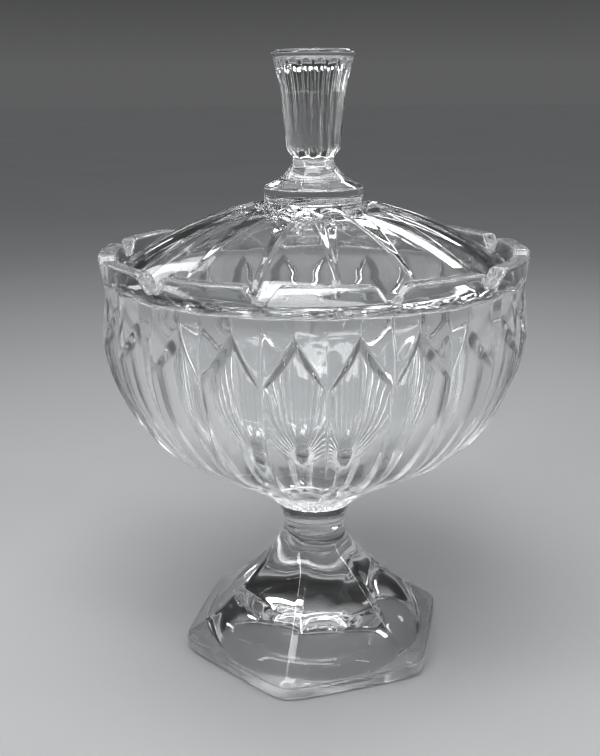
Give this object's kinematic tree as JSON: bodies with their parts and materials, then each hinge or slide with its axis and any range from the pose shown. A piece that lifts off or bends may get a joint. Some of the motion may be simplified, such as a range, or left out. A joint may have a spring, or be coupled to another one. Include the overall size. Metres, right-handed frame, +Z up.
{
  "type": "covered glass candy dish",
  "caption": "Clear pressed-glass candy dish: fluted bowl with a notched rim on a short stem and flaring six-sided foot, with a grooved domed lid and a fluted finial knob.",
  "frame": {"origin": "middle of the flat rim that the foot stands on", "axes": "+Z up along the dish's axis, from foot to knob; -Y through the middle of the front rim tab"},
  "size_m": [0.1702, 0.1702, 0.2465],
  "materials": {
    "clear_glass": "polished, colourless, soft pressed edges"
  },
  "bodies": {
    "dish": {"foot": "clear_glass", "bowl": "clear_glass"},
    "lid": {"lid": "clear_glass", "knob": "clear_glass"}
  },
  "joints": [
    {"name": "lid_lift", "type": "slide", "parent": "dish", "child": "lid", "axis": [0, 0, 1], "range_m": [0, 0.08]}
  ]
}
